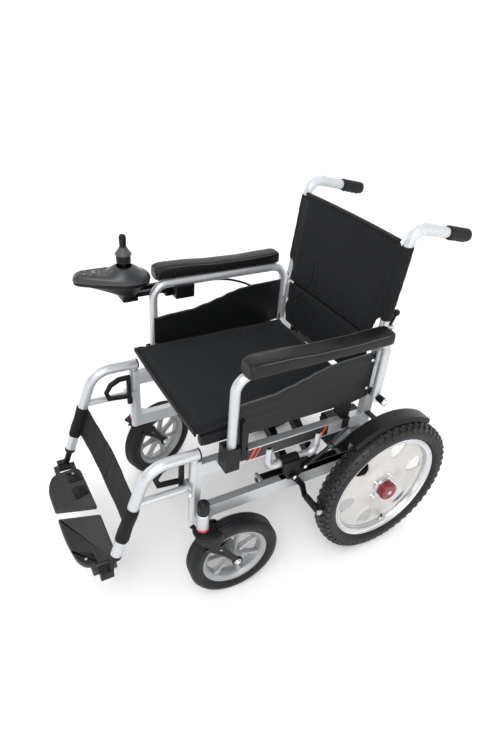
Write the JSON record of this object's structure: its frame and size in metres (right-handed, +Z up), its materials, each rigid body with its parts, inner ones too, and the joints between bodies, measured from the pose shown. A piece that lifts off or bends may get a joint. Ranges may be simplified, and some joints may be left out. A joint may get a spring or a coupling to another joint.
{
  "type": "folding power wheelchair",
  "caption": "Folding power wheelchair with drive wheels, swivel casters, cross-braced seat, fold-down back, flip-up armrests, swing-away leg rests and a joystick.",
  "frame": {"origin": "on the floor, under the middle of the overall box", "axes": "+Z up, -Y the way the chair faces, +X to the user's left"},
  "size_m": [0.618, 0.9956, 0.8938],
  "materials": {
    "frame_silver": "satin",
    "black_steel": "satin",
    "black_plastic": "matte",
    "motor_black": "matte",
    "tyre_black": "matte",
    "rim_silver": "polished",
    "knob_red": "gloss",
    "grip_rubber": "matte",
    "seat_fabric": "woven",
    "pad_leather": "grained",
    "controller_plastic": "fine texture"
  },
  "bodies": {
    "frame_left": {"side_frame_left": "frame_silver", "frame_fittings_left": "black_plastic", "gear_motor_left": "motor_black", "battery_pack": "black_plastic", "lower_back_panel": "seat_fabric"},
    "frame_right": {"side_frame_right": "frame_silver", "frame_fittings_right": "black_plastic", "gear_motor_right": "motor_black"},
    "bar_a": {"cross_bar_a": "black_steel"},
    "bar_b": {"cross_bar_b": "black_steel"},
    "seat": {"seat_pad": "seat_fabric"},
    "brake_lever_left": {"brake_lever_left": "black_steel"},
    "brake_arm_left": {"brake_arm_left": "black_steel"},
    "wheel_left": {"rear_tyre_left": "tyre_black", "rear_rim_left": "rim_silver"},
    "clutch_left": {"clutch_knob_left": "knob_red"},
    "fork_left": {"caster_fork_left": "black_steel"},
    "caster_left": {"caster_wheel_left": "tyre_black"},
    "back_left": {"back_tube_left": "frame_silver", "push_grip_left": "grip_rubber", "back_upholstery": "seat_fabric"},
    "back_release_left": {"back_lever_left": "black_plastic"},
    "armrest_left": {"armrest_frame_left": "frame_silver", "armrest_pad_left": "pad_leather", "side_panel_left": "black_plastic"},
    "latch_left": {"armrest_latch_left": "black_plastic"},
    "hanger_left": {"hanger_left": "black_steel", "calf_strap_left": "seat_fabric"},
    "hanger_release_left": {"release_handle_left": "black_plastic"},
    "foot_stem_left": {"footplate_stem_left": "black_steel"},
    "footplate_left": {"footplate_left": "black_plastic"},
    "brake_lever_right": {"brake_lever_right": "black_steel"},
    "brake_arm_right": {"brake_arm_right": "black_steel"},
    "wheel_right": {"rear_tyre_right": "tyre_black", "rear_rim_right": "rim_silver"},
    "clutch_right": {"clutch_knob_right": "knob_red"},
    "fork_right": {"caster_fork_right": "black_steel"},
    "caster_right": {"caster_wheel_right": "tyre_black"},
    "back_right": {"back_tube_right": "frame_silver", "push_grip_right": "grip_rubber"},
    "back_release_right": {"back_lever_right": "black_plastic"},
    "armrest_right": {"armrest_frame_right": "frame_silver", "armrest_pad_right": "pad_leather", "side_panel_right": "black_plastic", "joystick_clamp": "black_steel", "joystick_lead": "grip_rubber"},
    "latch_right": {"armrest_latch_right": "black_plastic"},
    "hanger_right": {"hanger_right": "black_steel", "calf_strap_right": "seat_fabric"},
    "hanger_release_right": {"release_handle_right": "black_plastic"},
    "foot_stem_right": {"footplate_stem_right": "black_steel"},
    "footplate_right": {"footplate_right": "black_plastic"},
    "joystick_bar_a": {"joystick_link_a": "black_steel"},
    "joystick_bar_b": {"joystick_link_b": "black_steel"},
    "controller": {"controller_housing": "controller_plastic"},
    "gimbal": {"joystick_gimbal": "black_plastic"},
    "stick": {"joystick": "grip_rubber"},
    "power_key": {"power_button": "grip_rubber"},
    "horn_key": {"horn_button": "grip_rubber"},
    "speed_key": {"speed_rocker": "grip_rubber"}
  },
  "joints": [
    {"name": "fold", "type": "hinge", "parent": "frame_left", "child": "bar_a", "pos_m": [0.165, 0.09125, 0.262], "axis": [0, 1, 0], "range_deg": [0, 41.3], "deforming": ["seat_pad", "back_upholstery", "lower_back_panel", "calf_strap_left", "calf_strap_right"]},
    {"name": "bar_crossing", "type": "hinge", "parent": "bar_a", "child": "bar_b", "pos_m": [0, 0.09125, 0.36006], "axis": [0, 1, 0], "range_deg": [-82.6, 0]},
    {"name": "frame_right_pivot", "type": "hinge", "parent": "bar_b", "child": "frame_right", "pos_m": [-0.165, 0.09125, 0.262], "axis": [0, 1, 0], "range_deg": [0, 41.3]},
    {"name": "seat_level", "type": "hinge", "parent": "bar_a", "child": "seat", "pos_m": [-0.185, 0.09125, 0.47], "axis": [0, 1, 0], "range_deg": [-41.3, 0]},
    {"name": "brake_lever_swing_left", "type": "hinge", "parent": "frame_left", "child": "brake_lever_left", "pos_m": [0.222, 0.05925, 0.322], "axis": [1, 0, 0], "range_deg": [0, 60]},
    {"name": "brake_arm_swing_left", "type": "hinge", "parent": "frame_left", "child": "brake_arm_left", "pos_m": [0.222, 0.02925, 0.3], "axis": [1, 0, 0], "range_deg": [-12, 0]},
    {"name": "wheel_spin_left", "type": "hinge", "parent": "frame_left", "child": "wheel_left", "pos_m": [0.273, 0.29125, 0.2065], "axis": [1, 0, 0], "continuous": true},
    {"name": "clutch_turn_left", "type": "hinge", "parent": "wheel_left", "child": "clutch_left", "pos_m": [0.295, 0.29125, 0.2065], "axis": [1, 0, 0], "range_deg": [0, 90]},
    {"name": "caster_swivel_left", "type": "hinge", "parent": "frame_left", "child": "fork_left", "pos_m": [0.226, -0.21675, 0.26], "axis": [0, 0, 1], "continuous": true},
    {"name": "caster_spin_left", "type": "hinge", "parent": "fork_left", "child": "caster_left", "pos_m": [0.23179, -0.13395, 0.117], "axis": [0.9976, -0.0698, 0], "continuous": true},
    {"name": "back_fold_left", "type": "hinge", "parent": "frame_left", "child": "back_left", "pos_m": [0.192, 0.24225, 0.62], "axis": [-1, 0, 0], "range_deg": [0, 95]},
    {"name": "back_release_turn_left", "type": "hinge", "parent": "back_left", "child": "back_release_left", "pos_m": [0.192, 0.26425, 0.652], "axis": [-1, 0, 0], "range_deg": [0, 20], "stiffness_Nm_per_rad": 0.3, "springref_deg": -5.73},
    {"name": "armrest_flip_left", "type": "hinge", "parent": "frame_left", "child": "armrest_left", "pos_m": [0.225, 0.23925, 0.487], "axis": [-1, 0, 0], "range_deg": [0, 95]},
    {"name": "latch_turn_left", "type": "hinge", "parent": "frame_left", "child": "latch_left", "pos_m": [0.23, -0.13175, 0.445], "axis": [-1, 0, 0], "range_deg": [0, 20], "stiffness_Nm_per_rad": 0.5, "springref_deg": -5.73},
    {"name": "hanger_swing_left", "type": "hinge", "parent": "frame_left", "child": "hanger_left", "pos_m": [0.1935, -0.22775, 0.4], "axis": [0, 0, 1], "range_deg": [0, 90], "deforming": ["calf_strap_left", "calf_strap_right"]},
    {"name": "hanger_release_turn_left", "type": "hinge", "parent": "hanger_left", "child": "hanger_release_left", "pos_m": [0.174, -0.24675, 0.34], "axis": [1, 0, 0], "range_deg": [0, 15], "stiffness_Nm_per_rad": 1, "springref_deg": -5.73},
    {"name": "foot_height_left", "type": "slide", "parent": "hanger_left", "child": "foot_stem_left", "axis": [0, -0.3358, -0.9419], "range_m": [-0.025, 0.05]},
    {"name": "footplate_flip_left", "type": "hinge", "parent": "foot_stem_left", "child": "footplate_left", "pos_m": [0.18, -0.43775, 0.168], "axis": [0, 1, 0], "range_deg": [0, 86]},
    {"name": "brake_lever_swing_right", "type": "hinge", "parent": "frame_right", "child": "brake_lever_right", "pos_m": [-0.222, 0.05925, 0.322], "axis": [1, 0, 0], "range_deg": [0, 60]},
    {"name": "brake_arm_swing_right", "type": "hinge", "parent": "frame_right", "child": "brake_arm_right", "pos_m": [-0.222, 0.02925, 0.3], "axis": [1, 0, 0], "range_deg": [-12, 0]},
    {"name": "wheel_spin_right", "type": "hinge", "parent": "frame_right", "child": "wheel_right", "pos_m": [-0.273, 0.29125, 0.2065], "axis": [1, 0, 0], "continuous": true},
    {"name": "clutch_turn_right", "type": "hinge", "parent": "wheel_right", "child": "clutch_right", "pos_m": [-0.295, 0.29125, 0.2065], "axis": [1, 0, 0], "range_deg": [0, 90]},
    {"name": "caster_swivel_right", "type": "hinge", "parent": "frame_right", "child": "fork_right", "pos_m": [-0.226, -0.21675, 0.26], "axis": [0, 0, 1], "continuous": true},
    {"name": "caster_spin_right", "type": "hinge", "parent": "fork_right", "child": "caster_right", "pos_m": [-0.19761, -0.13876, 0.117], "axis": [0.9397, -0.342, 0], "continuous": true},
    {"name": "back_fold_right", "type": "hinge", "parent": "frame_right", "child": "back_right", "pos_m": [-0.192, 0.24225, 0.62], "axis": [-1, 0, 0], "range_deg": [0, 95]},
    {"name": "back_release_turn_right", "type": "hinge", "parent": "back_right", "child": "back_release_right", "pos_m": [-0.192, 0.26425, 0.652], "axis": [-1, 0, 0], "range_deg": [0, 20], "stiffness_Nm_per_rad": 0.3, "springref_deg": -5.73},
    {"name": "armrest_flip_right", "type": "hinge", "parent": "frame_right", "child": "armrest_right", "pos_m": [-0.225, 0.23925, 0.487], "axis": [-1, 0, 0], "range_deg": [0, 95]},
    {"name": "latch_turn_right", "type": "hinge", "parent": "frame_right", "child": "latch_right", "pos_m": [-0.23, -0.13175, 0.445], "axis": [-1, 0, 0], "range_deg": [0, 20], "stiffness_Nm_per_rad": 0.5, "springref_deg": -5.73},
    {"name": "hanger_swing_right", "type": "hinge", "parent": "frame_right", "child": "hanger_right", "pos_m": [-0.1935, -0.22775, 0.4], "axis": [0, 0, -1], "range_deg": [0, 90], "deforming": ["calf_strap_left", "calf_strap_right"]},
    {"name": "hanger_release_turn_right", "type": "hinge", "parent": "hanger_right", "child": "hanger_release_right", "pos_m": [-0.174, -0.24675, 0.34], "axis": [1, 0, 0], "range_deg": [0, 15], "stiffness_Nm_per_rad": 1, "springref_deg": -5.73},
    {"name": "foot_height_right", "type": "slide", "parent": "hanger_right", "child": "foot_stem_right", "axis": [0, -0.3358, -0.9419], "range_m": [-0.025, 0.05]},
    {"name": "footplate_flip_right", "type": "hinge", "parent": "foot_stem_right", "child": "footplate_right", "pos_m": [-0.18, -0.43775, 0.168], "axis": [0, -1, 0], "range_deg": [0, 86]},
    {"name": "joystick_swing", "type": "hinge", "parent": "armrest_right", "child": "joystick_bar_a", "pos_m": [-0.244, -0.10875, 0.616], "axis": [0, 0, -1], "range_deg": [0, 65]},
    {"name": "joystick_swing_b", "type": "hinge", "parent": "armrest_right", "child": "joystick_bar_b", "pos_m": [-0.278, -0.10875, 0.616], "axis": [0, 0, -1], "range_deg": [0, 65]},
    {"name": "joystick_level", "type": "hinge", "parent": "joystick_bar_a", "child": "controller", "pos_m": [-0.244, -0.19875, 0.616], "axis": [0, 0, -1], "range_deg": [-65, 0]},
    {"name": "stick_pitch", "type": "hinge", "parent": "controller", "child": "gimbal", "pos_m": [-0.246, -0.22075, 0.666], "axis": [1, 0, 0], "range_deg": [-15, 15], "stiffness_Nm_per_rad": 0.3},
    {"name": "stick_roll", "type": "hinge", "parent": "gimbal", "child": "stick", "pos_m": [-0.246, -0.22075, 0.666], "axis": [0, 1, 0], "range_deg": [-15, 15], "stiffness_Nm_per_rad": 0.3},
    {"name": "power_press", "type": "slide", "parent": "controller", "child": "power_key", "axis": [0, 0, -1], "range_m": [0, 0.0015], "stiffness_N_per_m": 300, "springref_m": -0.001},
    {"name": "horn_press", "type": "slide", "parent": "controller", "child": "horn_key", "axis": [0, 0, -1], "range_m": [0, 0.0015], "stiffness_N_per_m": 300, "springref_m": -0.001},
    {"name": "speed_tip", "type": "hinge", "parent": "controller", "child": "speed_key", "pos_m": [-0.246, -0.29375, 0.68], "axis": [1, 0, 0], "range_deg": [-8, 8], "stiffness_Nm_per_rad": 0.05}
  ],
  "couplings": [
    {"joint": "bar_crossing", "follows": "fold", "ratio": -2},
    {"joint": "frame_right_pivot", "follows": "fold", "ratio": 1},
    {"joint": "seat_level", "follows": "fold", "ratio": -1},
    {"joint": "brake_arm_swing_left", "follows": "brake_lever_swing_left", "ratio": -0.2},
    {"joint": "footplate_flip_left", "follows": "fold", "ratio": 2.0823},
    {"joint": "brake_arm_swing_right", "follows": "brake_lever_swing_right", "ratio": -0.2},
    {"joint": "footplate_flip_right", "follows": "fold", "ratio": 2.0823},
    {"joint": "back_fold_right", "follows": "back_fold_left", "ratio": 1},
    {"joint": "joystick_swing_b", "follows": "joystick_swing", "ratio": 1},
    {"joint": "joystick_level", "follows": "joystick_swing", "ratio": -1}
  ]
}
